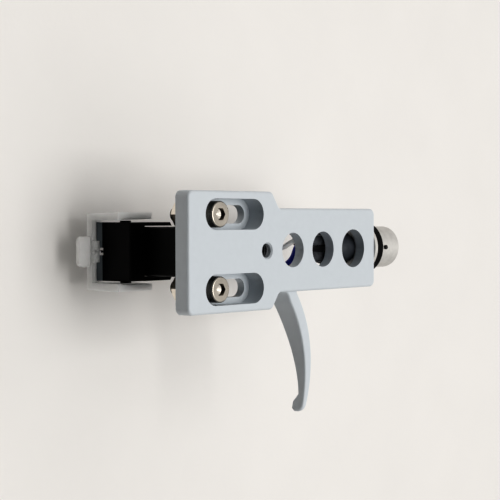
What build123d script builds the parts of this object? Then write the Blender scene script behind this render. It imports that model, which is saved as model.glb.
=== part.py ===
import os
from math import cos, radians, sin, sqrt, tan

from build123d import *

# A turntable headshell with its cartridge, in millimetres. The origin is on the bayonet axis, on the
# rear face of the gasket, where the tonearm's socket seats. X runs to the rear, along the plug, Y
# away from the finger lift and Z up, so the cartridge hangs below and ahead of the origin.

# Bayonet plug
COLLAR_DIAMETER = 8.0
COLLAR_REACH = 7.1
COLLAR_CHAMFER = 0.35
FLANGE_DIAMETER = 10.4
FLANGE_THICKNESS = 0.8
GASKET_DIAMETER = 10.4
GASKET_THICKNESS = 2.1
GASKET_ROUNDING = 0.5
LOCATING_PIN_DIAMETER = 0.85
LOCATING_PIN_HEIGHT = 0.4
LOCATING_PIN_CHAMFER = 0.1
LOCATING_PIN_FROM_SEAT = 2.1
INSULATOR_DIAMETER = 5.8
INSULATOR_RECESS = 0.5
INSULATOR_FORWARD = 13.4
INSULATOR_CLEARANCE = 0.05
CONTACT_DIAMETER = 1.0
CONTACT_SPACING = 3.0
CONTACT_PROTRUSION = 1.2
CONTACT_TAIL = 3.2
CONTACT_ROUNDING = 0.35

# Headshell casting
PLATE_LENGTH = 53.1
PLATE_WIDTH = 20.62
NECK_WIDTH = 14.84
WIDE_LENGTH = 22.0
STEP_LENGTH = 2.0
PLATE_TOP = 5.0
EDGE_THICKNESS = 2.83
CORNER_RADIUS = 1.2
TOP_ROUNDING = 0.5
PAD_DEPTH = 4.8
PAD_INSET = 2.6
PAD_SIDE_INSET = 1.3
PAD_CHAMFER = 0.4
NECK_TOP_WALL = 1.9
NECK_SIDE_WALL = 1.9
NECK_REAR_WALL = 3.5
NECK_FLOOR_WALL = 1.5
NECK_DEEP_LENGTH = 15.0
NECK_ROUNDING = 1.6

# Mounting slots, lightening holes and threaded hole
MOUNT_SPACING = 12.7
SLOT_CENTRE = 11.91
RECESS_LENGTH = 15.16
RECESS_WIDTH = 5.28
RECESS_DEPTH = 3.3
SLOT_LENGTH = 12.4
SLOT_WIDTH = 3.2
HOLE_DIAMETERS = (6.15, 6.45, 7.1)
HOLE_WEB = 2.6
FIRST_HOLE = 24.655
TAPPED_HOLE = 20.48
TAPPED_DIAMETER = 2.5
TAPPED_COUNTERSINK = 0.25

# Finger lift
LIFT_ROOT = 28.3
LIFT_REACH = 21.93
LIFT_BOW = 22.3
LIFT_BOW_REAR = 21.2
LIFT_CREST = 14.9
LIFT_CREST_REAR = 12.9
LIFT_BACKSET = 3.93
LIFT_BACKSET_REAR = 5.85
LIFT_BELOW_TOP = 0.8
LIFT_ROOT_DEPTH = 4.2
LIFT_TIP_DEPTH = 1.28
LIFT_LIP_DEPTH = 2.3
LIFT_LIP_LENGTH = 1.75
LIFT_LIP_SLOPE = 1.35
LIFT_LIP_ROUNDING = 0.8
LIFT_LIP_CHAMFER = 0.6
LIFT_NOSE = 1.3
LIFT_ROUNDING = 0.35
LIFT_ROUNDING_SHARE = 0.4
LIFT_FLARE = 2.2

# Mounting screws and nuts
SCREW_FROM_FRONT = 9.05
SCREW_DIAMETER = 2.5
SCREW_LENGTH = 8.0
HEAD_DIAMETER = 4.5
HEAD_HEIGHT = 2.5
HEAD_ROUNDING = 0.3
HEX_SOCKET = 2.0
HEX_DEPTH = 1.4
NUT_ACROSS_FLATS = 5.0
NUT_HEIGHT = 2.0
NUT_BEVEL_ANGLE = 30.0
NUT_POCKET_CLEARANCE = 0.06

# Cartridge body
BODY_WIDTH = 8.4
BODY_FRONT_OVERHANG = 5.05
BODY_LENGTH = 14.5
BODY_HEIGHT = 15.8
BODY_REAR_HEIGHT = 11.7
BODY_CHIN = 4.0
BODY_WALL = 0.8
BODY_TOP_WALL = 1.5
BODY_FRONT_WALL = 1.8
BODY_FLOOR = 1.7
BODY_ROUNDING = 0.4
EAR_SPAN = 16.8
EAR_LENGTH = 7.2
EAR_THICKNESS = 3.0
EAR_ROUNDING = 1.0
EAR_NOTCH_CLEARANCE = 0.2
TERMINAL_THICKNESS = 1.2
OUTPUT_PIN_DIAMETER = 1.2
OUTPUT_PIN_LENGTH = 4.2
OUTPUT_PIN_TAIL = 1.2
OUTPUT_PIN_ROUNDING = 0.3
OUTPUT_SPACING = 3.8
OUTPUT_ROW_SPACING = 4.0
OUTPUT_ROW_DROP = 4.4

# Generator
COIL_DIAMETER = 3.0
COIL_CENTRE = 1.62
COIL_LENGTH = 6.0
COIL_BACK = 6.2
BOBBIN_FLANGE = 0.35
BOBBIN_TUBE = 0.25
POLE_THICKNESS = 0.6
POLE_WIDTH = 1.3
POLE_KNEE = 1.95

# Stylus assembly
STYLUS_OVERHANG = 9.45
STYLUS_DROP = 16.6
TIP_HEIGHT = 0.55
TIP_DIAMETER = 0.35
CANTILEVER_ANGLE = 22.0
CANTILEVER_REACH = 6.4
CANTILEVER_DIAMETER = 0.5
CANTILEVER_TAIL = 1.1
MAGNET_DIAMETER = 1.0
MAGNET_LENGTH = 1.4
SLEEVE_DIAMETER = 1.8
SLEEVE_WALL = 0.2
SLEEVE_PROTRUSION = 0.1
SLEEVE_REAR = 0.9
SOCKET_CLEARANCE = 0.1
BUSH_LENGTH = 1.0
BUSH_CLEARANCE = 0.12

# Stylus holder
HOLDER_WIDTH = 10.06
HOLDER_FRONT_OVERHANG = 9.05
HOLDER_TOP_DROP = 8.45
HOLDER_BODY_GAP = 0.3
HOLDER_ROUNDING = 0.25
ARM_THICKNESS = 0.62
ARM_LENGTH = 6.2
ARM_HEIGHT = 3.8
ARM_SLANT = 0.45
FOOT_REACH = 0.75
FOOT_HEIGHT = 0.75
FOOT_SLOPE = 0.6
GROOVE_WIDTH = 1.3
GROOVE_REAR_WALL = 1.4
GROOVE_ROOM = 0.9
NUB_DIAMETER = 1.9
NUB_HEIGHT = 0.28
NUB_BACK = 1.2
NUB_DROP = 2.25

# Stylus guard
GUARD_TOP_WIDTH = 13.44
GUARD_BOTTOM_WIDTH = 13.0
GUARD_WALL = 1.13
GUARD_FLOOR = 0.6
GUARD_FRONT_OVERHANG = 11.1
GUARD_LENGTH = 8.25
GUARD_TOP_DROP = 9.3
GUARD_BOTTOM_DROP = 17.7
GUARD_BAR_DROP = 15.58
GUARD_FLOOR_LENGTH = 3.6
GUARD_HEEL = 4.6
GUARD_TOE_LENGTH = 1.25
GUARD_TOE_HEIGHT = 0.94
TONGUE_WIDTH = 3.68
TONGUE_RISE = 0.78
TONGUE_SLOT_WIDTH = 0.56
TONGUE_SLOT_HEIGHT = 0.62
TONGUE_SLOT_DEPTH = 0.6
TAB_WIDTH = 5.18
TAB_LENGTH = 2.5
TAB_THICKNESS = 0.85
TAB_DROP = 15.95
TAB_ROUNDING = 0.9

# Leads and their clips
LEAD_DIAMETER = 0.95
LEAD_END_DEPTH = 1.2
CLIP_WALL = 0.3
CLIP_PLAY = 0.02
CLIP_LENGTH = 3.0
BARREL_LENGTH = 1.6
BARREL_WALL = 0.2
CLIP_SLIT = 0.35
BOOT_WALL = 0.25
BOOT_NECK = 2.0

# How far each lead runs straight out of its plug clip, and the points that it then passes
LEAD_ROUTES = {
    "white": (1.7, ((-23.2, -0.1, -1.9), (-26.6, 0.9, -3.1))),
    "blue": (4.2, ((-24.35, -2.65, 1.4), (-27.4, -3.6, -1.6))),
    "red": (1.2, ((-21.4, -3.7, -2.0), (-24.2, -3.2, -5.0), (-27.2, 0.4, -7.4))),
    "green": (1.4, ((-23.8, -4.1, 0.3), (-27.2, -4.2, -4.6))),
}
LEAD_STRAIGHT = 1.2
BEND_SHARE = 0.45

# Places that the sizes above settle
plate_rear = -GASKET_THICKNESS - FLANGE_THICKNESS
plate_front = plate_rear - PLATE_LENGTH
step_front = plate_front + WIDE_LENGTH
step_rear = step_front + STEP_LENGTH
collar_radius = COLLAR_DIAMETER / 2
neck_floor = -collar_radius - NECK_FLOOR_WALL
mount_face = PLATE_TOP - PAD_DEPTH
screw_x = plate_front + SCREW_FROM_FRONT
screw_seat = PLATE_TOP - RECESS_DEPTH
ear_floor = mount_face - EAR_THICKNESS
body_front = screw_x - BODY_FRONT_OVERHANG
body_rear = body_front + BODY_LENGTH
body_floor = mount_face - BODY_HEIGHT
cavity_front = body_front + BODY_FRONT_WALL
cavity_top = mount_face - BODY_TOP_WALL
cavity_floor = body_floor + BODY_FLOOR
holder_front = screw_x - HOLDER_FRONT_OVERHANG
holder_rear = body_front - HOLDER_BODY_GAP
holder_top = mount_face - HOLDER_TOP_DROP
tip_x = screw_x - STYLUS_OVERHANG
tip_z = mount_face - STYLUS_DROP

# The stylus axis runs up and back from the cantilever's front end to its pivot in the rubber bush
needle_angle = radians(CANTILEVER_ANGLE)
pivot_x = tip_x + CANTILEVER_REACH * cos(needle_angle)
pivot_z = tip_z + TIP_HEIGHT + CANTILEVER_REACH * sin(needle_angle)
needle = Plane((pivot_x, 0, pivot_z), x_dir=(0, 1, 0), z_dir=(cos(needle_angle), 0, sin(needle_angle)))
socket_radius = SLEEVE_DIAMETER / 2 + SOCKET_CLEARANCE

# Each lead's colour, with the side and the level of its contact and of its output pin
LEADS = {"white": (1, -1, 1, 1), "blue": (1, 1, -1, 1), "red": (-1, -1, 1, -1), "green": (-1, 1, -1, -1)}
SIDES = {"left": 1, "right": -1}

os.makedirs("parts", exist_ok=True)

# Finger lift: two arcs in plan, thinning underneath towards a turned-down lip
lift_top = PLATE_TOP - LIFT_BELOW_TOP
lift_side = -NECK_WIDTH / 2
lift_inside = lift_side + NECK_SIDE_WALL / 2
lift_tip = lift_side - LIFT_REACH
lift_front = plate_front + LIFT_ROOT - LIFT_FLARE
lift_floor = lift_top - LIFT_ROOT_DEPTH
lip_floor = lift_top - LIFT_LIP_DEPTH
lip_inside = lift_tip + LIFT_LIP_LENGTH
lip_root = lip_inside + LIFT_LIP_SLOPE


def lift_edge(backset, bow, crest, y):
    """The x of a lift edge: an arc of radius bow that stands furthest back at crest from the neck."""
    return plate_front + LIFT_ROOT + backset - bow + sqrt(bow**2 - (y - lift_side + crest) ** 2)


def front_edge(y):
    return lift_edge(LIFT_BACKSET, LIFT_BOW, LIFT_CREST, y)


def rear_edge(y):
    return lift_edge(LIFT_BACKSET_REAR, LIFT_BOW_REAR, LIFT_CREST_REAR, y)


lift_flare_y = lift_side - LIFT_FLARE
lift_middle = (lift_flare_y + lift_tip) / 2
lift_rounding = min(LIFT_ROUNDING, LIFT_ROUNDING_SHARE * (rear_edge(lift_tip) - front_edge(lift_tip)))

with BuildPart() as finger_lift:
    with BuildSketch(Plane.XY.offset(lift_top)):
        with BuildLine():
            Polyline(
                (lift_front, lift_side),
                (lift_front, lift_inside),
                (rear_edge(lift_side), lift_inside),
                (rear_edge(lift_side), lift_side),
            )
            ThreePointArc(
                (rear_edge(lift_side), lift_side),
                (rear_edge(lift_middle), lift_middle),
                (rear_edge(lift_tip), lift_tip),
            )
            Line((rear_edge(lift_tip), lift_tip), (front_edge(lift_tip), lift_tip))
            front_arc = ThreePointArc(
                (front_edge(lift_tip), lift_tip),
                (front_edge(lift_middle), lift_middle),
                (front_edge(lift_flare_y), lift_flare_y),
            )
            Spline(front_arc @ 1, (lift_front, lift_side), tangents=[front_arc % 1, (-1, 0)])
        make_face()
    extrude(amount=-LIFT_ROOT_DEPTH)
    with BuildSketch(Plane.YZ.offset(lift_front)) as lift_profile:
        with BuildLine():
            underside = Spline(
                (lift_side, lift_floor),
                (lip_root, lift_top - LIFT_TIP_DEPTH),
                tangents=[(-1, 0), (lip_root - lift_side, LIFT_ROOT_DEPTH - LIFT_TIP_DEPTH)],
            )
            Polyline(
                underside @ 1,
                (lip_inside, lip_floor),
                (lift_tip, lip_floor),
                (lift_tip, lift_top),
                (lift_inside, lift_top),
                (lift_inside, lift_floor),
                underside @ 0,
            )
        make_face()
        fillet(lift_profile.vertices().sort_by_distance((lip_inside, lip_floor))[0], LIFT_LIP_ROUNDING)
        chamfer(lift_profile.vertices().sort_by_distance((lift_tip, lip_floor))[0], LIFT_LIP_CHAMFER)
        fillet(lift_profile.vertices().sort_by_distance((lift_tip, lift_top))[0], LIFT_NOSE)
    extrude(amount=LIFT_BACKSET_REAR + LIFT_FLARE, mode=Mode.INTERSECT)
    rim = finger_lift.faces().sort_by(Axis.Z)[-1].edges()
    fillet(rim.filter_by(lambda edge: edge.center().Y < lift_side).sort_by(Axis.Y)[1:], lift_rounding)

# Plan outline that the plate and the neck share
with BuildSketch(Plane.XY.offset(PLATE_TOP)) as outline:
    with BuildLine():
        Polyline(
            (plate_front, PLATE_WIDTH / 2),
            (step_front, PLATE_WIDTH / 2),
            (step_rear, NECK_WIDTH / 2),
            (plate_rear, NECK_WIDTH / 2),
            (plate_rear, -NECK_WIDTH / 2),
            (step_rear, -NECK_WIDTH / 2),
            (step_front, -PLATE_WIDTH / 2),
            (plate_front, -PLATE_WIDTH / 2),
            close=True,
        )
    make_face()
    fillet(outline.vertices(), CORNER_RADIUS)

# Neck, which deepens towards the collar
neck_top = PLATE_TOP - TOP_ROUNDING
channel_front = step_front + STEP_LENGTH / 2
with BuildPart() as neck:
    with BuildSketch(Plane.XZ):
        with BuildLine():
            Polyline(
                (channel_front, neck_top),
                (channel_front, mount_face),
                (plate_rear - NECK_DEEP_LENGTH, neck_floor),
                (plate_rear, neck_floor),
                (plate_rear, neck_top),
                close=True,
            )
        make_face()
    extrude(amount=NECK_WIDTH / 2, both=True)
    fillet(neck.faces().sort_by(Axis.Z)[0].edges().filter_by(Axis.X), NECK_ROUNDING)
    extrude(outline.sketch, amount=neck_floor - PLATE_TOP, mode=Mode.INTERSECT)

# Headshell: plate, mounting pad and neck, cast in one piece with the finger lift
with BuildPart() as headshell:
    extrude(outline.sketch, amount=-EDGE_THICKNESS)
    fillet(headshell.faces().sort_by(Axis.Z)[-1].edges(), TOP_ROUNDING)

    # Mounting pad under the slots
    pad_front = plate_front + PAD_INSET
    with BuildSketch(Plane.XY.offset(PLATE_TOP - EDGE_THICKNESS)):
        with Locations(((pad_front + channel_front) / 2, 0)):
            RectangleRounded(channel_front - pad_front, PLATE_WIDTH - 2 * PAD_SIDE_INSET, CORNER_RADIUS)
    extrude(amount=EDGE_THICKNESS - PAD_DEPTH)
    chamfer(headshell.faces().sort_by(Axis.Z)[0].edges(), PAD_CHAMFER)

    add(neck.part)
    add(finger_lift.part)

    # Lead channel under the neck
    channel_rear = plate_rear - NECK_REAR_WALL
    with BuildSketch(Plane.XY.offset(PLATE_TOP - NECK_TOP_WALL)):
        with Locations(((channel_front + channel_rear) / 2, 0)):
            RectangleRounded(
                channel_rear - channel_front, NECK_WIDTH - 2 * NECK_SIDE_WALL, CORNER_RADIUS
            )
    extrude(amount=neck_floor - PLATE_TOP, mode=Mode.SUBTRACT)

    # Bore for the collar, through the neck's rear wall
    with BuildSketch(Plane.YZ.offset(plate_rear)):
        Circle(collar_radius)
    extrude(amount=-NECK_REAR_WALL, mode=Mode.SUBTRACT)

    # Mounting slots, each sunk in a recess for the screw's head
    slot_x = plate_front + SLOT_CENTRE
    with BuildSketch(Plane.XY.offset(PLATE_TOP)):
        with Locations((slot_x, MOUNT_SPACING / 2), (slot_x, -MOUNT_SPACING / 2)):
            SlotOverall(RECESS_LENGTH, RECESS_WIDTH)
    extrude(amount=-RECESS_DEPTH, mode=Mode.SUBTRACT)
    with BuildSketch(Plane.XY.offset(PLATE_TOP)):
        with Locations((slot_x, MOUNT_SPACING / 2), (slot_x, -MOUNT_SPACING / 2)):
            SlotOverall(SLOT_LENGTH, SLOT_WIDTH)
    extrude(amount=-PAD_DEPTH, mode=Mode.SUBTRACT)

    # Row of lightening holes over the channel, growing to the rear
    hole_front = plate_front + FIRST_HOLE
    for diameter in HOLE_DIAMETERS:
        with BuildSketch(Plane.XY.offset(PLATE_TOP)):
            with Locations((hole_front + diameter / 2, 0)):
                Circle(diameter / 2)
        extrude(amount=-NECK_TOP_WALL, mode=Mode.SUBTRACT)
        hole_front += diameter + HOLE_WEB

    # Tapped hole between the slots and the first lightening hole
    with Locations(Location((plate_front + TAPPED_HOLE, 0, PLATE_TOP))):
        CounterSinkHole(TAPPED_DIAMETER / 2, TAPPED_DIAMETER / 2 + TAPPED_COUNTERSINK, depth=PAD_DEPTH)
headshell.part.label = "headshell"
export_step(headshell.part, "parts/headshell.step")

# Bayonet collar with its flange, turned from one bar
insulator_bore = INSULATOR_DIAMETER / 2 + INSULATOR_CLEARANCE
with BuildPart() as bayonet_collar:
    with BuildSketch(Plane.XZ):
        with BuildLine():
            Polyline(
                (channel_rear, insulator_bore),
                (channel_rear, collar_radius),
                (plate_rear, collar_radius),
                (plate_rear, FLANGE_DIAMETER / 2),
                (plate_rear + FLANGE_THICKNESS, FLANGE_DIAMETER / 2),
                (plate_rear + FLANGE_THICKNESS, collar_radius),
                (COLLAR_REACH - COLLAR_CHAMFER, collar_radius),
                (COLLAR_REACH, collar_radius - COLLAR_CHAMFER),
                (COLLAR_REACH, insulator_bore),
                close=True,
            )
        make_face()
    revolve(axis=Axis.X)
    with BuildSketch(Plane.XY.offset(collar_radius)):
        with Locations((LOCATING_PIN_FROM_SEAT, 0)):
            Circle(LOCATING_PIN_DIAMETER / 2)
    extrude(amount=-collar_radius, mode=Mode.SUBTRACT)
bayonet_collar.part.label = "bayonet_collar"
export_step(bayonet_collar.part, "parts/bayonet_collar.step")

with BuildPart() as locating_pin:
    with BuildSketch(Plane.XY.offset(insulator_bore)):
        with Locations((LOCATING_PIN_FROM_SEAT, 0)):
            Circle(LOCATING_PIN_DIAMETER / 2)
    extrude(amount=collar_radius - insulator_bore + LOCATING_PIN_HEIGHT)
    chamfer(locating_pin.faces().sort_by(Axis.Z)[-1].edges(), LOCATING_PIN_CHAMFER)
locating_pin.part.label = "locating_pin"
export_step(locating_pin.part, "parts/locating_pin.step")

with BuildPart() as gasket_ring:
    with BuildSketch(Plane.YZ):
        Circle(GASKET_DIAMETER / 2)
        Circle(collar_radius, mode=Mode.SUBTRACT)
    extrude(amount=-GASKET_THICKNESS)
    rim = gasket_ring.faces().sort_by(Axis.X)[-1].edges().sort_by(SortBy.RADIUS)[-1]
    fillet(rim, GASKET_ROUNDING)
gasket_ring.part.label = "gasket_ring"
export_step(gasket_ring.part, "parts/gasket_ring.step")

# Insulator in the collar's bore, with a hole for each contact
insulator_rear = COLLAR_REACH - INSULATOR_RECESS
with BuildPart() as contact_insulator:
    with BuildSketch(Plane.YZ.offset(-INSULATOR_FORWARD)):
        Circle(INSULATOR_DIAMETER / 2)
        with GridLocations(CONTACT_SPACING, CONTACT_SPACING, 2, 2):
            Circle(CONTACT_DIAMETER / 2, mode=Mode.SUBTRACT)
    extrude(amount=INSULATOR_FORWARD + insulator_rear)
contact_insulator.part.label = "contact_insulator"
export_step(contact_insulator.part, "parts/contact_insulator.step")

# Mounting screws and nuts, one pair on each side
nut_floor = ear_floor - NUT_HEIGHT
nut_bevel = NUT_ACROSS_FLATS / 2 * tan(radians(NUT_BEVEL_ANGLE))
for side, sign in SIDES.items():
    screw_y = sign * MOUNT_SPACING / 2
    with BuildPart() as mounting_screw:
        with BuildSketch(Plane.XY.offset(screw_seat)):
            with Locations((screw_x, screw_y)):
                Circle(HEAD_DIAMETER / 2)
        extrude(amount=HEAD_HEIGHT)
        fillet(mounting_screw.faces().sort_by(Axis.Z)[-1].edges(), HEAD_ROUNDING)
        with BuildSketch(Plane.XY.offset(screw_seat)):
            with Locations((screw_x, screw_y)):
                Circle(SCREW_DIAMETER / 2)
        extrude(amount=-SCREW_LENGTH)
        with BuildSketch(Plane.XY.offset(screw_seat + HEAD_HEIGHT)):
            with Locations((screw_x, screw_y)):
                RegularPolygon(HEX_SOCKET / 2, 6, major_radius=False)
        extrude(amount=-HEX_DEPTH, mode=Mode.SUBTRACT)
    mounting_screw.part.label = f"mounting_screw_{side}"
    export_step(mounting_screw.part, f"parts/mounting_screw_{side}.step")

    with BuildPart() as mounting_nut:
        with BuildSketch(Plane.XY.offset(ear_floor)):
            with Locations((screw_x, screw_y)):
                RegularPolygon(NUT_ACROSS_FLATS / 2, 6, major_radius=False)
                Circle(SCREW_DIAMETER / 2, mode=Mode.SUBTRACT)
        extrude(amount=-NUT_HEIGHT)
        with BuildSketch(Plane.XZ.offset(-screw_y)):
            with BuildLine():
                Polyline(
                    (screw_x, ear_floor),
                    (screw_x, nut_floor),
                    (screw_x + NUT_ACROSS_FLATS / 2, nut_floor),
                    (screw_x + NUT_ACROSS_FLATS, nut_floor + nut_bevel),
                    (screw_x + NUT_ACROSS_FLATS, ear_floor),
                    close=True,
                )
            make_face()
        revolve(axis=Axis((screw_x, screw_y, 0), (0, 0, 1)), mode=Mode.INTERSECT)
    mounting_nut.part.label = f"mounting_nut_{side}"
    export_step(mounting_nut.part, f"parts/mounting_nut_{side}.step")

# Cartridge body: a moulded shell with notched mounting ears, open at the rear
notch_width = SCREW_DIAMETER + EAR_NOTCH_CLEARANCE
rear_floor = mount_face - BODY_REAR_HEIGHT
with BuildPart() as cartridge_body:
    with BuildSketch(Plane.XZ):
        with BuildLine():
            Polyline(
                (body_front, mount_face),
                (body_front, body_floor),
                (body_front + BODY_CHIN, body_floor),
                (body_rear, rear_floor),
                (body_rear, mount_face),
                close=True,
            )
        make_face()
    extrude(amount=BODY_WIDTH / 2, both=True)
    fillet(cartridge_body.faces().sort_by(Axis.X)[0].edges(), BODY_ROUNDING)
    with BuildSketch(Plane.XY.offset(mount_face)):
        with Locations((screw_x, 0)):
            RectangleRounded(EAR_LENGTH, EAR_SPAN, EAR_ROUNDING)
    extrude(amount=-EAR_THICKNESS)
    with BuildSketch(Plane.XY.offset(mount_face)):
        with Locations((screw_x, MOUNT_SPACING / 2), (screw_x, -MOUNT_SPACING / 2)):
            Circle(notch_width / 2)
        with Locations((screw_x, EAR_SPAN / 2), (screw_x, -EAR_SPAN / 2)):
            Rectangle(notch_width, EAR_SPAN - MOUNT_SPACING)
    extrude(amount=-EAR_THICKNESS, mode=Mode.SUBTRACT)
    with BuildSketch(Plane.XY.offset(ear_floor)):
        with Locations((screw_x, MOUNT_SPACING / 2), (screw_x, -MOUNT_SPACING / 2)):
            RegularPolygon(NUT_ACROSS_FLATS / 2 + NUT_POCKET_CLEARANCE, 6, major_radius=False)
    extrude(amount=-NUT_HEIGHT - NUT_POCKET_CLEARANCE, mode=Mode.SUBTRACT)
    with BuildSketch(Plane.XZ):
        with BuildLine():
            Polyline(
                (cavity_front, cavity_top),
                (cavity_front, cavity_floor),
                (body_front + BODY_CHIN, cavity_floor),
                (body_rear, rear_floor + BODY_WALL),
                (body_rear, cavity_top),
                close=True,
            )
        make_face()
    extrude(amount=BODY_WIDTH / 2 - BODY_WALL, both=True, mode=Mode.SUBTRACT)
    with BuildSketch(needle.offset(-CANTILEVER_REACH)):
        Circle(socket_radius)
    extrude(amount=CANTILEVER_REACH + CANTILEVER_TAIL + MAGNET_LENGTH, mode=Mode.SUBTRACT)
cartridge_body.part.label = "cartridge_body"
export_step(cartridge_body.part, "parts/cartridge_body.step")

# Terminal plate, which closes the body's rear and carries the four output pins
output_rows = (mount_face - OUTPUT_ROW_DROP, mount_face - OUTPUT_ROW_DROP - OUTPUT_ROW_SPACING)
output_middle = (output_rows[0] + output_rows[1]) / 2
with BuildPart() as terminal_plate:
    with BuildSketch(Plane.YZ.offset(body_rear)):
        with Locations((0, (cavity_top + rear_floor + BODY_WALL) / 2)):
            Rectangle(BODY_WIDTH - 2 * BODY_WALL, cavity_top - rear_floor - BODY_WALL)
        with Locations((0, output_middle)):
            with GridLocations(OUTPUT_SPACING, OUTPUT_ROW_SPACING, 2, 2):
                Circle(OUTPUT_PIN_DIAMETER / 2, mode=Mode.SUBTRACT)
    extrude(amount=-TERMINAL_THICKNESS)
terminal_plate.part.label = "terminal_plate"
export_step(terminal_plate.part, "parts/terminal_plate.step")

# Generator: on each side a coil on its bobbin, round the upright leg of a pole piece
coil_x = cavity_front + COIL_BACK
coil_top = cavity_top - BOBBIN_FLANGE
bobbin_bore = sqrt(POLE_WIDTH**2 + POLE_THICKNESS**2) / 2 + BOBBIN_TUBE / 2
pole_foot = pivot_z + (CANTILEVER_TAIL + MAGNET_LENGTH / 2) * sin(needle_angle)
pole_toe = pivot_x + CANTILEVER_TAIL * cos(needle_angle)
for side, sign in SIDES.items():
    coil_y = sign * COIL_CENTRE
    with BuildPart() as bobbin:
        for level in (cavity_top, coil_top - COIL_LENGTH):
            with BuildSketch(Plane.XY.offset(level)):
                with Locations((coil_x, coil_y)):
                    Circle(COIL_DIAMETER / 2)
            extrude(amount=-BOBBIN_FLANGE)
        with BuildSketch(Plane.XY.offset(coil_top)):
            with Locations((coil_x, coil_y)):
                Circle(bobbin_bore + BOBBIN_TUBE)
        extrude(amount=-COIL_LENGTH)
        with BuildSketch(Plane.XY.offset(cavity_top)):
            with Locations((coil_x, coil_y)):
                Circle(bobbin_bore)
        extrude(amount=-COIL_LENGTH - 2 * BOBBIN_FLANGE, mode=Mode.SUBTRACT)
    bobbin.part.label = f"bobbin_{side}"
    export_step(bobbin.part, f"parts/bobbin_{side}.step")

    with BuildPart() as coil:
        with BuildSketch(Plane.XY.offset(coil_top)):
            with Locations((coil_x, coil_y)):
                Circle(COIL_DIAMETER / 2)
                Circle(bobbin_bore + BOBBIN_TUBE, mode=Mode.SUBTRACT)
        extrude(amount=-COIL_LENGTH)
    coil.part.label = f"coil_{side}"
    export_step(coil.part, f"parts/coil_{side}.step")

    with BuildPart() as pole_piece:
        with BuildSketch(Plane.XZ.offset(-coil_y)):
            with BuildLine():
                Polyline(
                    (coil_x - POLE_WIDTH / 2, cavity_top),
                    (coil_x - POLE_WIDTH / 2, pole_foot + POLE_KNEE),
                    (pole_toe, pole_foot + POLE_WIDTH / 2),
                    (pole_toe, pole_foot - POLE_WIDTH / 2),
                    (coil_x + POLE_WIDTH / 2, pole_foot + POLE_WIDTH / 2),
                    (coil_x + POLE_WIDTH / 2, cavity_top),
                    close=True,
                )
            make_face()
        extrude(amount=POLE_THICKNESS / 2, both=True)
    pole_piece.part.label = f"pole_piece_{side}"
    export_step(pole_piece.part, f"parts/pole_piece_{side}.step")

# Stylus holder: the moulded grip, with two arms that pass along the cartridge body's sides
holder_half = HOLDER_WIDTH / 2
foot_front = holder_front - FOOT_REACH
groove_rear = holder_rear - GROOVE_REAR_WALL
groove_top = pivot_z - (pivot_x - groove_rear) * tan(needle_angle) + GROOVE_ROOM
groove_mouth = tip_z + TIP_HEIGHT + GROOVE_ROOM
sleeve_front = (pivot_x - groove_rear) / cos(needle_angle) + SLEEVE_DIAMETER / 2 * tan(needle_angle)
sleeve_front += SLEEVE_PROTRUSION
with BuildPart() as stylus_holder:
    with BuildSketch(Plane.XZ):
        with BuildLine():
            Polyline(
                (holder_front, holder_top),
                (holder_front, body_floor + FOOT_HEIGHT),
                (foot_front, body_floor + FOOT_HEIGHT - FOOT_SLOPE),
                (foot_front, body_floor),
                (holder_rear, body_floor),
                (holder_rear, holder_top),
                close=True,
            )
        make_face()
    extrude(amount=holder_half, both=True)
    fillet(stylus_holder.faces().sort_by(Axis.Z)[-1].edges(), HOLDER_ROUNDING)
    for sign in SIDES.values():
        with BuildSketch(Plane.XY.offset(holder_top)):
            with BuildLine():
                Polyline(
                    (holder_rear - HOLDER_ROUNDING, sign * holder_half),
                    (holder_rear + ARM_LENGTH, sign * holder_half),
                    (holder_rear + ARM_LENGTH + ARM_SLANT, sign * (holder_half - ARM_THICKNESS)),
                    (holder_rear - HOLDER_ROUNDING, sign * (holder_half - ARM_THICKNESS)),
                    close=True,
                )
            make_face()
        extrude(amount=-ARM_HEIGHT)
        with BuildSketch(Plane.XZ.offset(-sign * holder_half)):
            with Locations((holder_front + NUB_BACK, holder_top - NUB_DROP)):
                Circle(NUB_DIAMETER / 2)
        extrude(amount=-sign * NUB_HEIGHT)
    with BuildSketch(Plane.XZ):
        with BuildLine():
            Polyline(
                (foot_front, groove_mouth),
                (groove_rear, groove_top),
                (groove_rear, body_floor),
                (foot_front, body_floor),
                close=True,
            )
        make_face()
    extrude(amount=GROOVE_WIDTH / 2, both=True, mode=Mode.SUBTRACT)
    with BuildSketch(needle.offset(-sleeve_front)):
        Circle(SLEEVE_DIAMETER / 2)
    extrude(amount=sleeve_front, mode=Mode.SUBTRACT)
stylus_holder.part.label = "stylus_holder"
export_step(stylus_holder.part, "parts/stylus_holder.step")

# Suspension: a metal sleeve in the holder's rear wall, and the rubber bush that is the pivot
sleeve_bore = SLEEVE_DIAMETER / 2 - SLEEVE_WALL
with BuildPart() as suspension_sleeve:
    with BuildSketch(needle.offset(-sleeve_front)):
        Circle(SLEEVE_DIAMETER / 2)
        Circle(sleeve_bore, mode=Mode.SUBTRACT)
    extrude(amount=sleeve_front + SLEEVE_REAR)
suspension_sleeve.part.label = "suspension_sleeve"
export_step(suspension_sleeve.part, "parts/suspension_sleeve.step")

with BuildPart() as suspension_bush:
    with BuildSketch(needle.offset(-BUSH_LENGTH / 2)):
        Circle(sleeve_bore)
        Circle(CANTILEVER_DIAMETER / 2 + BUSH_CLEARANCE, mode=Mode.SUBTRACT)
    extrude(amount=BUSH_LENGTH)
suspension_bush.part.label = "suspension_bush"
export_step(suspension_bush.part, "parts/suspension_bush.step")

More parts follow.
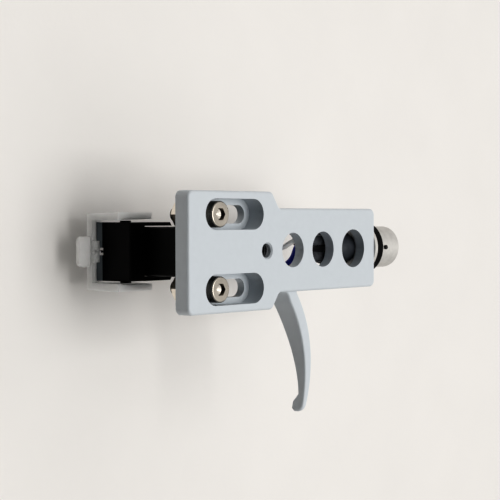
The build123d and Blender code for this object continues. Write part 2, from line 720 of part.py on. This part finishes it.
# Cantilever tube, with the magnet on its tail and the diamond under its front end
with BuildPart() as cantilever:
    with BuildSketch(needle.offset(-CANTILEVER_REACH - CANTILEVER_DIAMETER / 2)):
        Circle(CANTILEVER_DIAMETER / 2)
    extrude(amount=CANTILEVER_REACH + CANTILEVER_DIAMETER / 2 + CANTILEVER_TAIL)
    with BuildSketch(Plane.XY.offset(tip_z)):
        with Locations((tip_x, 0)):
            Circle(TIP_DIAMETER / 2)
    extrude(amount=TIP_HEIGHT, mode=Mode.SUBTRACT)
cantilever.part.label = "cantilever"
export_step(cantilever.part, "parts/cantilever.step")

with BuildPart() as magnet:
    with BuildSketch(needle.offset(CANTILEVER_TAIL)):
        Circle(MAGNET_DIAMETER / 2)
    extrude(amount=MAGNET_LENGTH)
magnet.part.label = "magnet"
export_step(magnet.part, "parts/magnet.step")

with BuildPart() as diamond_tip:
    with BuildSketch(Plane.XZ):
        with BuildLine():
            Polyline(
                (tip_x, tip_z),
                (tip_x + TIP_DIAMETER / 2, tip_z + TIP_DIAMETER / 2),
                (tip_x + TIP_DIAMETER / 2, tip_z + TIP_HEIGHT),
                (tip_x, tip_z + TIP_HEIGHT),
                close=True,
            )
        make_face()
    revolve(axis=Axis((tip_x, 0, 0), (0, 0, 1)))
diamond_tip.part.label = "diamond_tip"
export_step(diamond_tip.part, "parts/diamond_tip.step")

# Stylus guard: two drafted side walls, a low front bar with a tongue and a finger tab
guard_front = screw_x - GUARD_FRONT_OVERHANG
guard_rear = guard_front + GUARD_LENGTH
guard_middle = (guard_front + guard_rear) / 2
guard_top = mount_face - GUARD_TOP_DROP
guard_floor = mount_face - GUARD_BOTTOM_DROP
guard_bar = mount_face - GUARD_BAR_DROP
tab_top = mount_face - TAB_DROP
with BuildPart() as stylus_guard:
    with BuildSketch(Plane.XY.offset(guard_floor)):
        with Locations((guard_middle, 0)):
            Rectangle(GUARD_LENGTH, GUARD_BOTTOM_WIDTH)
    with BuildSketch(Plane.XY.offset(guard_top)):
        with Locations((guard_middle, 0)):
            Rectangle(GUARD_LENGTH, GUARD_TOP_WIDTH)
    loft()
    with BuildSketch(Plane.XY.offset(guard_floor + GUARD_FLOOR)):
        with Locations((guard_middle + GUARD_WALL, 0)):
            Rectangle(GUARD_LENGTH, GUARD_BOTTOM_WIDTH - 2 * GUARD_WALL)
    with BuildSketch(Plane.XY.offset(guard_top)):
        with Locations((guard_middle + GUARD_WALL, 0)):
            Rectangle(GUARD_LENGTH, GUARD_TOP_WIDTH - 2 * GUARD_WALL)
    loft(mode=Mode.SUBTRACT)

    # The front wall stands only as high as the bar, with the tongue above its middle
    inner_width = GUARD_BOTTOM_WIDTH - 2 * GUARD_WALL
    with BuildSketch(Plane.YZ.offset(guard_front)):
        with BuildLine():
            Polyline(
                (-inner_width / 2, guard_bar),
                (-TONGUE_WIDTH / 2, guard_bar),
                (-TONGUE_WIDTH / 2, guard_bar + TONGUE_RISE),
                (TONGUE_WIDTH / 2, guard_bar + TONGUE_RISE),
                (TONGUE_WIDTH / 2, guard_bar),
                (inner_width / 2, guard_bar),
                (inner_width / 2, guard_top),
                (-inner_width / 2, guard_top),
                close=True,
            )
        make_face()
    extrude(amount=GUARD_WALL, mode=Mode.SUBTRACT)
    with BuildSketch(Plane.YZ.offset(guard_front)):
        with Locations((0, guard_bar + TONGUE_RISE - TONGUE_SLOT_HEIGHT / 2)):
            Rectangle(TONGUE_SLOT_WIDTH, TONGUE_SLOT_HEIGHT)
    extrude(amount=TONGUE_SLOT_DEPTH, mode=Mode.SUBTRACT)

    # Open underside behind the stylus, heels that rise to the rear, and a raked toe
    with BuildSketch(Plane.XY.offset(guard_floor)):
        with Locations(((guard_front + GUARD_FLOOR_LENGTH + guard_rear) / 2, 0)):
            Rectangle(GUARD_LENGTH - GUARD_FLOOR_LENGTH, inner_width)
    extrude(amount=GUARD_FLOOR, mode=Mode.SUBTRACT)
    with BuildSketch(Plane.XZ):
        with BuildLine():
            Polyline(
                (guard_rear, guard_floor),
                (guard_rear, guard_floor + GUARD_HEEL),
                (guard_front + GUARD_FLOOR_LENGTH, guard_floor),
                close=True,
            )
        make_face()
        with BuildLine():
            Polyline(
                (guard_front, guard_floor),
                (guard_front + GUARD_TOE_LENGTH, guard_floor),
                (guard_front, guard_floor + GUARD_TOE_HEIGHT),
                close=True,
            )
        make_face()
    extrude(amount=GUARD_TOP_WIDTH / 2, both=True, mode=Mode.SUBTRACT)

    # Finger tab ahead of the bar
    with BuildSketch(Plane.XY.offset(tab_top)):
        with Locations((guard_front - TAB_LENGTH / 2 + TAB_ROUNDING / 2, 0)):
            RectangleRounded(TAB_LENGTH + TAB_ROUNDING, TAB_WIDTH, TAB_ROUNDING)
    extrude(amount=-TAB_THICKNESS)
stylus_guard.part.label = "stylus_guard"
export_step(stylus_guard.part, "parts/stylus_guard.step")

# Contacts, output pins, clips and leads, one of each for each lead
contact_front = -INSULATOR_FORWARD - CONTACT_TAIL
output_rear = body_rear + OUTPUT_PIN_LENGTH
barrel_radius = LEAD_DIAMETER / 2 + BARREL_WALL
plug_barrel = contact_front - BARREL_LENGTH
cartridge_barrel = output_rear + BARREL_LENGTH
for colour, (contact_side, contact_level, output_side, output_level) in LEADS.items():
    contact_y = contact_side * CONTACT_SPACING / 2
    contact_z = contact_level * CONTACT_SPACING / 2
    output_y = output_side * OUTPUT_SPACING / 2
    output_z = output_middle + output_level * OUTPUT_ROW_SPACING / 2

    with BuildPart() as contact_pin:
        with BuildSketch(Plane.YZ.offset(contact_front)):
            with Locations((contact_y, contact_z)):
                Circle(CONTACT_DIAMETER / 2)
        extrude(amount=insulator_rear + CONTACT_PROTRUSION - contact_front)
        fillet(contact_pin.faces().sort_by(Axis.X)[-1].edges(), CONTACT_ROUNDING)
    contact_pin.part.label = f"contact_pin_{colour}"
    export_step(contact_pin.part, f"parts/contact_pin_{colour}.step")

    with BuildPart() as output_pin:
        with BuildSketch(Plane.YZ.offset(body_rear - TERMINAL_THICKNESS - OUTPUT_PIN_TAIL)):
            with Locations((output_y, output_z)):
                Circle(OUTPUT_PIN_DIAMETER / 2)
        extrude(amount=OUTPUT_PIN_TAIL + TERMINAL_THICKNESS + OUTPUT_PIN_LENGTH)
        fillet(output_pin.faces().sort_by(Axis.X)[-1].edges(), OUTPUT_PIN_ROUNDING)
    output_pin.part.label = f"output_pin_{colour}"
    export_step(output_pin.part, f"parts/output_pin_{colour}.step")

    # Each clip is a split socket on its pin, with a barrel crimped on the lead
    clips = {
        "plug": (contact_y, contact_z, contact_front, 1, CONTACT_DIAMETER),
        "cartridge": (output_y, output_z, output_rear, -1, OUTPUT_PIN_DIAMETER),
    }
    for end, (clip_y, clip_z, pin_end, way, pin_diameter) in clips.items():
        socket_bore = pin_diameter / 2 + CLIP_PLAY
        with BuildPart() as clip:
            with BuildSketch(Plane.YZ.offset(pin_end)):
                with Locations((clip_y, clip_z)):
                    Circle(socket_bore + CLIP_WALL)
                    Circle(socket_bore, mode=Mode.SUBTRACT)
                with Locations((clip_y, clip_z + socket_bore)):
                    Rectangle(CLIP_SLIT, 2 * CLIP_WALL, mode=Mode.SUBTRACT)
            extrude(amount=way * CLIP_LENGTH)
            with BuildSketch(Plane.YZ.offset(pin_end)):
                with Locations((clip_y, clip_z)):
                    Circle(socket_bore + CLIP_WALL)
                    Circle(LEAD_DIAMETER / 2, mode=Mode.SUBTRACT)
            extrude(amount=-way * CLIP_WALL)
            with BuildSketch(Plane.YZ.offset(pin_end)):
                with Locations((clip_y, clip_z)):
                    Circle(barrel_radius)
                    Circle(LEAD_DIAMETER / 2, mode=Mode.SUBTRACT)
            extrude(amount=-way * BARREL_LENGTH)
        clip.part.label = f"{end}_clip_{colour}"
        export_step(clip.part, f"parts/{end}_clip_{colour}.step")

    # An insulating boot covers the clip on the plug's contact
    clip_radius = CONTACT_DIAMETER / 2 + CLIP_PLAY + CLIP_WALL
    boot_rear = contact_front + CLIP_LENGTH
    with BuildPart() as boot:
        with BuildSketch(Plane.YZ.offset(boot_rear)):
            with Locations((contact_y, contact_z)):
                Circle(clip_radius + BOOT_WALL)
                Circle(clip_radius, mode=Mode.SUBTRACT)
        extrude(amount=-CLIP_LENGTH - CLIP_WALL)
        with BuildSketch(Plane.YZ.offset(contact_front - CLIP_WALL)):
            with Locations((contact_y, contact_z)):
                Circle(clip_radius + BOOT_WALL)
                Circle(barrel_radius, mode=Mode.SUBTRACT)
        extrude(amount=-BOOT_NECK)
    boot.part.label = f"clip_boot_{colour}"
    export_step(boot.part, f"parts/clip_boot_{colour}.step")

    # The lead runs straight out of each barrel and bends gently between them
    plug_straight, waypoints = LEAD_ROUTES[colour]
    route = [
        (plug_barrel + LEAD_END_DEPTH, contact_y, contact_z),
        (plug_barrel - plug_straight, contact_y, contact_z),
        *waypoints,
        (cartridge_barrel + LEAD_STRAIGHT, output_y, output_z),
        (cartridge_barrel - LEAD_END_DEPTH, output_y, output_z),
    ]
    runs = [Vector(end) - Vector(start) for start, end in zip(route, route[1:])]
    bends = [
        BEND_SHARE * min(run.length, after.length) / tan(radians(run.get_angle(after)) / 2)
        for run, after in zip(runs, runs[1:])
    ]
    print(f"lead_{colour} bend radii", [round(bend, 1) for bend in bends])
    with BuildPart() as lead:
        with BuildLine():
            path = FilletPolyline(*route, radius=bends)
        with BuildSketch(Plane(path @ 0, z_dir=path % 0)):
            Circle(LEAD_DIAMETER / 2)
        sweep()
    print(f"lead_{colour} length", round(path.length, 1))
    lead.part.label = f"lead_{colour}"
    export_step(lead.part, f"parts/lead_{colour}.step")
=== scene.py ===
import math

import bmesh
import bpy
from mathutils import Matrix, Vector


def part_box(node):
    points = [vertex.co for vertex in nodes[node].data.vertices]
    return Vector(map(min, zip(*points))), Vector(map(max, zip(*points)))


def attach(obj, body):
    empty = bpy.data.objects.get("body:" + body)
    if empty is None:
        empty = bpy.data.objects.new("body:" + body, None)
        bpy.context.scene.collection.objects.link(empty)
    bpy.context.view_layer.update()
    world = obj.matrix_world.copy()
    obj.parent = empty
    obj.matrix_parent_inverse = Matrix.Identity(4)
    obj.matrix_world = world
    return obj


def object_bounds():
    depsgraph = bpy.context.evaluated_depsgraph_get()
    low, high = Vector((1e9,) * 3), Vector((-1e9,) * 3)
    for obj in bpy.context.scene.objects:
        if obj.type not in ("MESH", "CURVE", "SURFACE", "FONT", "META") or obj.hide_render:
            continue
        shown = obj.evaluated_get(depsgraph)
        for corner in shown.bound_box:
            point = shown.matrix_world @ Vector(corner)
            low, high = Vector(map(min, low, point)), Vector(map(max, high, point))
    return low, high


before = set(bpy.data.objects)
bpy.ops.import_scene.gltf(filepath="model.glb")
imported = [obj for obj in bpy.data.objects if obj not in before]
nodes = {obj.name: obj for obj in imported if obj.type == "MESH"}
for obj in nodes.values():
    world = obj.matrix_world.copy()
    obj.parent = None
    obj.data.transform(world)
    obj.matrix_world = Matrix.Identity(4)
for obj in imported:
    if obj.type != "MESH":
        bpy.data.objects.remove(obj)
cad_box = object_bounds()
scene = bpy.context.scene

MM = 0.001
FULL_TURN = 2 * math.pi
SHELL_BODY = "headshell_assembly"
COLOURS = ("white", "blue", "red", "green")
SIDES = ("left", "right")

# Camera, from the photograph's perspective: its place, and where its right and its front point
IMAGE_SIDE = 500
FOCAL_PIXELS = 1426.076
SENSOR_WIDTH = 36.0
CLIP_NEAR = 0.01
CLIP_FAR = 20.0
CAMERA_PLACE = Vector((-0.2281, 0.0055, 0.1614))
CAMERA_RIGHT = Vector((0.6399, -0.0024, 0.7685))
CAMERA_AHEAD = Vector((0.7683, -0.0216, -0.6397))

camera_data = bpy.data.cameras.new("camera")
camera_data.sensor_width = SENSOR_WIDTH
camera_data.lens = FOCAL_PIXELS * SENSOR_WIDTH / IMAGE_SIDE
camera_data.clip_start = CLIP_NEAR
camera_data.clip_end = CLIP_FAR
camera = bpy.data.objects.new("camera", camera_data)
back = -CAMERA_AHEAD.normalized()
right = (CAMERA_RIGHT - back * CAMERA_RIGHT.dot(back)).normalized()
up = back.cross(right)
turn = Matrix((right, up, back)).transposed().to_4x4()
camera.matrix_world = Matrix.Translation(CAMERA_PLACE) @ turn
scene.collection.objects.link(camera)
scene.camera = camera

# Materials: a noise texture keeps mostly between these two values
NOISE_LOW = 0.3
NOISE_HIGH = 0.7
DRIFT_DETAIL = 3.0
PATCH_DETAIL = 2.0
RELIEF_DETAIL = 4.0
PATCH_SHARE = 0.4
BAND_DISTORTION = 0.6
BAND_DETAIL = 1.0


def noise(tree, place, scale, detail):
    """A noise texture of that many cycles per metre, in the object's own frame."""
    texture = tree.nodes.new("ShaderNodeTexNoise")
    texture.inputs["Scale"].default_value = scale
    texture.inputs["Detail"].default_value = detail
    tree.links.new(place, texture.inputs["Vector"])
    return texture.outputs["Fac"]


def bands(tree, place, scale, axis):
    """Fine parallel lines across that axis, such as a lathe or a winding leaves."""
    texture = tree.nodes.new("ShaderNodeTexWave")
    texture.bands_direction = axis
    texture.inputs["Scale"].default_value = scale
    texture.inputs["Distortion"].default_value = BAND_DISTORTION
    texture.inputs["Detail"].default_value = BAND_DETAIL
    tree.links.new(place, texture.inputs["Vector"])
    return texture.outputs["Fac"]


def spread(tree, value, before, after):
    """Turns a value that lies between the first two limits into one between the other two."""
    ranged = tree.nodes.new("ShaderNodeMapRange")
    ranged.inputs["From Min"].default_value = before[0]
    ranged.inputs["From Max"].default_value = before[1]
    ranged.inputs["To Min"].default_value = after[0]
    ranged.inputs["To Max"].default_value = after[1]
    tree.links.new(value, ranged.inputs["Value"])
    return ranged.outputs["Result"]


def material(
    name,
    colour,
    rough,
    metal=0.0,
    tint=0.06,
    grain=900.0,
    rough_swing=0.06,
    bump_scale=4000.0,
    bump=0.02,
    lines=None,
    **sockets,
):
    """A procedural finish: a colour that drifts by tint, roughness that drifts too, and a fine relief."""
    made = bpy.data.materials.new(name)
    made.use_nodes = True
    tree = made.node_tree
    shader = tree.nodes["Principled BSDF"]
    place = tree.nodes.new("ShaderNodeTexCoord").outputs["Object"]
    drift = noise(tree, place, grain, DRIFT_DETAIL)
    ramp = tree.nodes.new("ShaderNodeValToRGB")
    dark, light = ramp.color_ramp.elements
    dark.position = NOISE_LOW
    light.position = NOISE_HIGH
    dark.color = [c * (1 - tint) for c in colour] + [1]
    light.color = [min(1, c * (1 + tint)) for c in colour] + [1]
    tree.links.new(drift, ramp.inputs["Fac"])
    tree.links.new(ramp.outputs["Color"], shader.inputs["Base Color"])
    patches = noise(tree, place, grain * PATCH_SHARE, PATCH_DETAIL)
    swing = spread(tree, patches, (NOISE_LOW, NOISE_HIGH), (rough - rough_swing, rough + rough_swing))
    tree.links.new(swing, shader.inputs["Roughness"])
    relief = bands(tree, place, *lines) if lines else noise(tree, place, bump_scale, RELIEF_DETAIL)
    height = tree.nodes.new("ShaderNodeBump")
    height.inputs["Strength"].default_value = 1.0
    height.inputs["Distance"].default_value = bump * MM
    tree.links.new(relief, height.inputs["Height"])
    tree.links.new(height.outputs["Normal"], shader.inputs["Normal"])
    shader.inputs["Metallic"].default_value = metal
    for socket, value in sockets.items():
        shader.inputs[socket.replace("_", " ")].default_value = value
    return made


def axis_value(tree, coordinate, axis):
    """One axis of a texture coordinate, such as the place or the normal in the object's own frame."""
    parted = tree.nodes.new("ShaderNodeSeparateXYZ")
    source = tree.nodes.new("ShaderNodeTexCoord").outputs[coordinate]
    tree.links.new(source, parted.inputs["Vector"])
    return parted.outputs[axis]


def recolour(made, share, colour):
    """Mixes a colour into the finish's own one, by a share that differs from place to place."""
    tree = made.node_tree
    shader = tree.nodes["Principled BSDF"]
    own = shader.inputs["Base Color"].links[0].from_socket
    mixed = tree.nodes.new("ShaderNodeMix")
    mixed.data_type = "RGBA"
    mixed.inputs["B"].default_value = colour
    tree.links.new(share, mixed.inputs["Factor"])
    tree.links.new(own, mixed.inputs["A"])
    tree.links.new(mixed.outputs["Result"], shader.inputs["Base Color"])


def paint_front(made, limit, colour):
    """Gives what lies in front of that x, in the object's own frame, another colour."""
    tree = made.node_tree
    ahead = tree.nodes.new("ShaderNodeMath")
    ahead.operation = "LESS_THAN"
    ahead.inputs[1].default_value = limit
    tree.links.new(axis_value(tree, "Object", "X"), ahead.inputs[0])
    recolour(made, ahead.outputs["Value"], colour)


def darken_sides(made, upright, flat, colour):
    """Paints shade on upright faces by giving them a darker colour. The two limits are sizes of the normal's
    part along z.
    """
    tree = made.node_tree
    rise = tree.nodes.new("ShaderNodeMath")
    rise.operation = "ABSOLUTE"
    tree.links.new(axis_value(tree, "Normal", "Z"), rise.inputs[0])
    recolour(made, spread(tree, rise.outputs["Value"], (upright, flat), (1.0, 0.0)), colour)


paint = material("paint", (0.59, 0.632, 0.669), 0.42, tint=0.012, bump=0.003, bump_scale=5000.0)
nickel = material("nickel", (0.61, 0.60, 0.58), 0.5, metal=1.0, lines=(1500.0, "X"), bump=0.001)
dark_steel = material("dark_steel", (0.10, 0.104, 0.11), 0.4, metal=1.0, tint=0.15, bump=0.004)
black_steel = material("black_steel", (0.02, 0.02, 0.02), 0.5, metal=0.6, tint=0.2, bump=0.004)
rubber = material("rubber", (0.002, 0.002, 0.002), 0.6, tint=0.2, bump=0.01, Specular_IOR_Level=0.1)
boot = material("boot", (0.07, 0.073, 0.08), 0.22, tint=0.3, bump=0.01, Specular_IOR_Level=0.8)
insulator = material("insulator", (0.048, 0.054, 0.064), 0.36, tint=0.15, bump=0.006, Specular_IOR_Level=0.4)
black = material("black", (0.003, 0.003, 0.0032), 0.5, tint=0.15, bump=0.004, Specular_IOR_Level=0.16)
grip = material("grip", (0.003, 0.003, 0.0032), 0.45, tint=0.15, bump=0.004, Specular_IOR_Level=0.12)
guard = material(
    "guard",
    (0.86, 0.875, 0.865),
    0.36,
    tint=0.02,
    bump=0.006,
    Transmission_Weight=0.1,
    Subsurface_Weight=0.95,
    Subsurface_Radius=(1.0, 1.0, 1.0),
    Subsurface_Scale=0.0035,
    IOR=1.49,
)
steel = material("steel", (0.44, 0.41, 0.365), 0.28, metal=1.0, tint=0.05, bump=0.001)
# painted highlight: a lighter, smoother copy of the screws' steel for the drill cones in their sockets, which
# brightens their glints
glint_steel = material("glint_steel", (0.72, 0.68, 0.62), 0.2, metal=1.0, tint=0.05, bump=0.001)
plated = material("plated", (0.86, 0.80, 0.71), 0.38, metal=1.0, tint=0.05, bump=0.001)
gold = material("gold", (0.78, 0.55, 0.20), 0.25, metal=1.0, bump=0.004)
copper = material("copper", (0.55, 0.22, 0.10), 0.3, metal=1.0, lines=(4000.0, "Z"), bump=0.03)
iron = material("iron", (0.35, 0.34, 0.33), 0.45, metal=1.0, bump=0.006)
alloy = material("alloy", (0.75, 0.75, 0.76), 0.3, metal=1.0, lines=(6000.0, "Y"), bump=0.002)
ferrite = material("ferrite", (0.05, 0.05, 0.055), 0.4, metal=0.6, bump=0.006)
diamond = material("diamond", (0.85, 0.88, 0.92), 0.08, tint=0.02, Transmission_Weight=0.8, IOR=2.4)
lead_colours = {
    "white": (0.75, 0.75, 0.73),
    "blue": (0.018, 0.028, 0.36),
    "red": (0.45, 0.012, 0.012),
    "green": (0.012, 0.20, 0.04),
}

# Painted light: a slate sheen painted on the foot along the front of the stylus holder, in place of the light
# its face catches, and painted shade on the upright faces of the screws
FOOT_REACH = 0.72 * MM
FOOT_SHEEN_COLOUR = (0.17, 0.195, 0.21, 1.0)
UPRIGHT_NORMAL = 0.1
FLAT_NORMAL = 0.5
SIDE_SHADE_COLOUR = (0.12, 0.112, 0.1, 1.0)
# painted sheen: a slate tint on the holder's black foot stands in for the light it catches
paint_front(grip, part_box("stylus_holder")[0].x + FOOT_REACH, FOOT_SHEEN_COLOUR)
# painted shade: every upright face of the screws, such as the heads' sides and the socket walls, is darker
darken_sides(steel, UPRIGHT_NORMAL, FLAT_NORMAL, SIDE_SHADE_COLOUR)

finish_of = {
    "headshell": paint,
    "bayonet_collar": nickel,
    "locating_pin": black_steel,
    "gasket_ring": rubber,
    "contact_insulator": insulator,
    "cartridge_body": black,
    "terminal_plate": insulator,
    "stylus_holder": grip,
    "suspension_sleeve": black_steel,
    "suspension_bush": rubber,
    "cantilever": alloy,
    "magnet": ferrite,
    "diamond_tip": diamond,
    "stylus_guard": guard,
}
for colour in COLOURS:
    finish_of[f"lead_{colour}"] = material(f"lead_{colour}", lead_colours[colour], 0.35, tint=0.08, bump=0.01)
    finish_of[f"clip_boot_{colour}"] = boot
    for piece in ("contact_pin", "plug_clip", "cartridge_clip", "output_pin"):
        finish_of[f"{piece}_{colour}"] = gold
for side in SIDES:
    finish_of[f"mounting_screw_{side}"] = steel
    finish_of[f"mounting_nut_{side}"] = plated
    finish_of[f"bobbin_{side}"] = insulator
    finish_of[f"coil_{side}"] = copper
    finish_of[f"pole_piece_{side}"] = iron
for name, finish in finish_of.items():
    nodes[name].data.materials.clear()
    nodes[name].data.materials.append(finish)


# Fine forms that the solids leave plain
def add_object(name, mesh, finish):
    """Makes an object of that mesh, in the frame's own place."""
    data = bpy.data.meshes.new(name)
    mesh.to_mesh(data)
    mesh.free()
    data.materials.append(finish)
    made = bpy.data.objects.new(name, data)
    scene.collection.objects.link(made)
    return made


def add_piece(name, mesh, finish):
    """Makes a piece of the headshell's body, in that finish."""
    bmesh.ops.recalc_face_normals(mesh, faces=mesh.faces)
    piece = add_object(name, mesh, finish)
    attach(piece, SHELL_BODY)


def around(centre, radius, angle, level):
    """A point at that angle and level round an upright axis."""
    return (centre[0] + radius * math.cos(angle), centre[1] + radius * math.sin(angle), level)


# Thread: steps in a turn, turns in which the ridge fades at each end, and its section's corners, each
# as shares of the ridge's height and of the pitch
THREAD_STEPS = 40
THREAD_FADE = 0.5
THREAD_SECTION = ((0.0, 0.1), (1.0, 0.45), (1.0, 0.55), (0.0, 0.9))


def thread(name, centre, bottom, top, root, crest, pitch, finish):
    """A closed ridge that winds up a wall of radius root, with its crest at another radius."""
    count = int(((top - bottom) / pitch - 1) * THREAD_STEPS)
    corners = len(THREAD_SECTION)
    mesh = bmesh.new()
    rings = []
    for i in range(count + 1):
        angle = FULL_TURN * i / THREAD_STEPS
        level = bottom + pitch * i / THREAD_STEPS
        ease = min(1.0, i / THREAD_STEPS / THREAD_FADE, (count - i) / THREAD_STEPS / THREAD_FADE)
        ring = []
        for height, rise in THREAD_SECTION:
            radius = root + (crest - root) * ease * height
            ring.append(mesh.verts.new(around(centre, radius, angle, level + rise * pitch)))
        rings.append(ring)
    for ring, after in zip(rings, rings[1:]):
        for i in range(corners):
            j = (i + 1) % corners
            mesh.faces.new((ring[i], ring[j], after[j], after[i]))
    mesh.faces.new(rings[0])
    mesh.faces.new(rings[-1])
    add_piece(name, mesh, finish)


# The cone that a drill leaves in the floor of a screw's hexagon socket
HEX_DEPTH = 1.4 * MM
DISH_RADIUS = 0.97 * MM
DISH_RIM = 0.6 * MM
DISH_CENTRE = 0.05 * MM
DISH_SEAT = 0.01 * MM
DISH_STEPS = 48


def socket_dish(name, centre, bottom, finish):
    """A round seat on the socket's bottom, hollowed to a flat cone."""
    mesh = bmesh.new()
    apex = mesh.verts.new((*centre, bottom + DISH_CENTRE))
    rim = []
    foot = []
    for i in range(DISH_STEPS):
        angle = FULL_TURN * i / DISH_STEPS
        rim.append(mesh.verts.new(around(centre, DISH_RADIUS, angle, bottom + DISH_RIM)))
        foot.append(mesh.verts.new(around(centre, DISH_RADIUS, angle, bottom + DISH_SEAT)))
    for i in range(DISH_STEPS):
        j = (i + 1) % DISH_STEPS
        mesh.faces.new((apex, rim[i], rim[j]))
        mesh.faces.new((rim[i], foot[i], foot[j], rim[j]))
    mesh.faces.new(foot)
    add_piece(name, mesh, finish)


TAPPED_CENTRE = (-0.03552, 0.0)
TAPPED_BOTTOM = 0.3 * MM
TAPPED_TOP = 4.7 * MM
TAPPED_ROOT = 1.27 * MM
TAPPED_CREST = 1.0 * MM
TAPPED_PITCH = 0.5 * MM
SCREW_ROOT = 1.24 * MM
SCREW_CREST = 1.3 * MM
SCREW_PITCH = 0.3 * MM
SCREW_END = 0.05 * MM
NUT_CLEARANCE = 0.02 * MM
thread(
    "tapped_thread",
    TAPPED_CENTRE,
    TAPPED_BOTTOM,
    TAPPED_TOP,
    TAPPED_ROOT,
    TAPPED_CREST,
    TAPPED_PITCH,
    dark_steel,
)
for side in SIDES:
    low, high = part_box(f"mounting_screw_{side}")
    nut_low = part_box(f"mounting_nut_{side}")[0]
    middle = ((low.x + high.x) / 2, (low.y + high.y) / 2)
    thread(
        f"screw_thread_{side}",
        middle,
        low.z + SCREW_END,
        nut_low.z - NUT_CLEARANCE,
        SCREW_ROOT,
        SCREW_CREST,
        SCREW_PITCH,
        steel,
    )
    # the cone takes the lighter steel, a painted highlight
    socket_dish(f"socket_dish_{side}", middle, high.z - HEX_DEPTH, glint_steel)

# Floor, low enough for the stylus to be pulled out without meeting it
FLOOR_GAP = 3.6 * MM
FLOOR_REACH = 8.0
FLOOR_CELLS = 2
floor_level = cad_box[0].z - FLOOR_GAP
floor_mesh = bmesh.new()
bmesh.ops.create_grid(floor_mesh, x_segments=FLOOR_CELLS, y_segments=FLOOR_CELLS, size=FLOOR_REACH)
bmesh.ops.translate(floor_mesh, verts=floor_mesh.verts, vec=(0, 0, floor_level))
pale = material("floor", (0.82, 0.805, 0.785), 0.7, tint=0.01, grain=60.0, bump_scale=800.0, bump=0.02)
floor = add_object("floor", floor_mesh, pale)

# Light: a pale room, brightest overhead and behind the part, and one soft lamp
ROOM_AXIS = (0.58, 0.0, 0.42)
ROOM_DARK = -0.04
ROOM_BRIGHT = 0.35
ROOM_STRENGTH = 0.63
ROOM_COLOUR = (1.0, 0.985, 0.965, 1.0)
PART_MIDDLE = Vector((-0.027, -0.005, -0.005))
LAMP_PLACE = Vector((0.12, 0.0, 0.8))
LAMP_SIDE = 0.5
LAMP_WATTS = 2.4

lamp_data = bpy.data.lights.new("overhead", "AREA")
lamp_data.shape = "RECTANGLE"
lamp_data.size = LAMP_SIDE
lamp_data.size_y = LAMP_SIDE
lamp_data.energy = LAMP_WATTS
lamp_data.color = ROOM_COLOUR[:3]
lamp = bpy.data.objects.new("overhead", lamp_data)
lamp.location = LAMP_PLACE
lamp.rotation_mode = "QUATERNION"
lamp.rotation_quaternion = (PART_MIDDLE - LAMP_PLACE).to_track_quat("-Z", "Y")
scene.collection.objects.link(lamp)

world = bpy.data.worlds.new("room")
scene.world = world
world.use_nodes = True
room = world.node_tree
towards = room.nodes.new("ShaderNodeVectorMath")
towards.operation = "DOT_PRODUCT"
towards.inputs[1].default_value = ROOM_AXIS
room.links.new(room.nodes.new("ShaderNodeTexCoord").outputs["Generated"], towards.inputs[0])
glow = room.nodes.new("ShaderNodeMapRange")
glow.interpolation_type = "SMOOTHSTEP"
glow.inputs["From Min"].default_value = ROOM_DARK
glow.inputs["From Max"].default_value = ROOM_BRIGHT
glow.inputs["To Max"].default_value = ROOM_STRENGTH
room.links.new(towards.outputs["Value"], glow.inputs["Value"])
background = room.nodes["Background"]
background.inputs["Color"].default_value = ROOM_COLOUR
room.links.new(glow.outputs["Result"], background.inputs["Strength"])

scene.view_settings.view_transform = "Standard"
scene.view_settings.look = "High Contrast"
